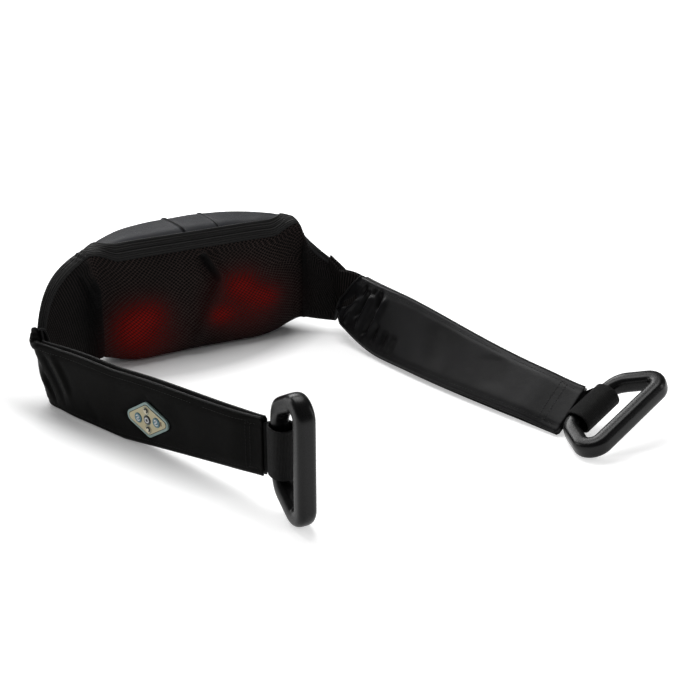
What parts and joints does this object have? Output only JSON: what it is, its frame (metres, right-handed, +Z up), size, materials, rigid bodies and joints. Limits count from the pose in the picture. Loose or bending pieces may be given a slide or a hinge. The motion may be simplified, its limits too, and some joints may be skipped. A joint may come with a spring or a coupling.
{
  "type": "shiatsu neck massager",
  "caption": "Padded kneading pillow with a red-lit knitted front, worn on the neck by padded straps that end in rigid hand rings, with a push-button pad on the left strap.",
  "frame": {"origin": "on the floor under the middle of the pillow, between the two kneading heads", "axes": "+Z is up, the knitted front that meets the neck faces -Y, +X is to the right hand strap as pictured"},
  "size_m": [0.579, 0.5693, 0.1526],
  "materials": {
    "leather": "satin grey-black synthetic leather",
    "knit": "open black knit",
    "tape": "ribbed black tape",
    "webbing": "woven black webbing",
    "foam": "open foam",
    "moulded": "moulded",
    "steel": "bright",
    "brass": "sintered",
    "nylon": "natural nylon",
    "board": "solder mask",
    "board_part": "moulded",
    "magnet": "ferrite",
    "winding": "lacquered copper wire on iron",
    "lamp_board": "white solder mask",
    "lamp": "red lens",
    "node_red": "clear red",
    "satin_black": "satin black",
    "teal": "satin teal",
    "cream": "satin cream"
  },
  "bodies": {
    "pillow": {"rear_cover": "leather", "mesh_cover": "knit", "zip_tape": "tape", "left_wing_foam": "foam", "right_wing_foam": "foam", "base_pad": "foam", "rear_housing": "moulded", "front_housing": "moulded", "housing_screws": "steel", "motor_can": "steel", "motor_magnets": "magnet", "motor_bracket": "moulded", "shaft_bushes": "brass", "front_bushes": "brass", "rear_bushes": "brass", "lamp_boards": "lamp_board", "heat_lamps": "lamp", "main_board": "board", "board_parts": "board_part", "board_screws": "steel", "dc_jack": "satin_black", "dc_pin": "brass"},
    "rotor": {"motor_shaft": "steel", "motor_armature": "winding", "left_worm": "nylon", "right_worm": "nylon"},
    "left_head": {"left_axle": "steel", "left_drive_wheel": "nylon", "left_head_arm": "moulded", "left_large_nodes": "node_red", "left_small_nodes": "node_red", "left_head_screws": "steel"},
    "right_head": {"right_axle": "steel", "right_drive_wheel": "nylon", "right_head_arm": "moulded", "right_large_nodes": "node_red", "right_small_nodes": "node_red", "right_head_screws": "steel"},
    "left_strap": {"left_strap_cover": "leather", "left_strap_foam": "foam", "left_loop": "webbing", "pad_bezel": "teal", "pad_tray": "moulded", "pad_board": "board", "pad_domes": "steel"},
    "left_ring": {"left_handle": "satin_black"},
    "right_strap": {"right_strap_cover": "leather", "right_strap_foam": "foam", "right_loop": "webbing"},
    "right_ring": {"right_handle": "satin_black"},
    "power_key": {"power_button": "satin_black"},
    "left_key": {"left_button": "teal"},
    "right_key": {"right_button": "teal"},
    "upper_key": {"upper_button": "cream"},
    "lower_key": {"lower_button": "cream"}
  },
  "joints": [
    {"name": "left_head_spin", "type": "hinge", "parent": "pillow", "child": "left_head", "pos_m": [-0.068, 0.0075, 0.056], "axis": [0, 1, 0], "continuous": true},
    {"name": "right_head_spin", "type": "hinge", "parent": "pillow", "child": "right_head", "pos_m": [0.068, 0.0075, 0.056], "axis": [0, 1, 0], "continuous": true},
    {"name": "rotor_spin", "type": "hinge", "parent": "pillow", "child": "rotor", "pos_m": [0, 0.0075, 0.09375], "axis": [1, 0, 0], "continuous": true},
    {"name": "left_strap_swing", "type": "hinge", "parent": "pillow", "child": "left_strap", "pos_m": [-0.2152, -0.10826, 0.0379], "axis": [0, 0, 1], "range_deg": [-45, 15]},
    {"name": "right_strap_swing", "type": "hinge", "parent": "pillow", "child": "right_strap", "pos_m": [0.17966, -0.0657, 0.0414], "axis": [0, 0, 1], "range_deg": [-30, 30]},
    {"name": "left_ring_swing", "type": "hinge", "parent": "left_strap", "child": "left_ring", "pos_m": [-0.08414, -0.44453, 0.068], "axis": [0, 0, 1], "range_deg": [-45, 45]},
    {"name": "right_ring_swing", "type": "hinge", "parent": "right_strap", "child": "right_ring", "pos_m": [0.28619, -0.44692, 0.028], "axis": [0.9066, 0.2093, 0.3665], "range_deg": [-60, 0]},
    {"name": "power_press", "type": "slide", "parent": "left_strap", "child": "power_key", "axis": [0.9372, 0.3487, 0], "range_m": [0, 0.0008], "stiffness_N_per_m": 600},
    {"name": "left_press", "type": "slide", "parent": "left_strap", "child": "left_key", "axis": [0.9372, 0.3487, 0], "range_m": [0, 0.0008], "stiffness_N_per_m": 600},
    {"name": "right_press", "type": "slide", "parent": "left_strap", "child": "right_key", "axis": [0.9372, 0.3487, 0], "range_m": [0, 0.0008], "stiffness_N_per_m": 600},
    {"name": "upper_press", "type": "slide", "parent": "left_strap", "child": "upper_key", "axis": [0.9372, 0.3487, 0], "range_m": [0, 0.0008], "stiffness_N_per_m": 600},
    {"name": "lower_press", "type": "slide", "parent": "left_strap", "child": "lower_key", "axis": [0.9372, 0.3487, 0], "range_m": [0, 0.0008], "stiffness_N_per_m": 600}
  ],
  "couplings": [
    {"joint": "right_head_spin", "follows": "left_head_spin", "ratio": -1},
    {"joint": "rotor_spin", "follows": "left_head_spin", "ratio": -50}
  ]
}
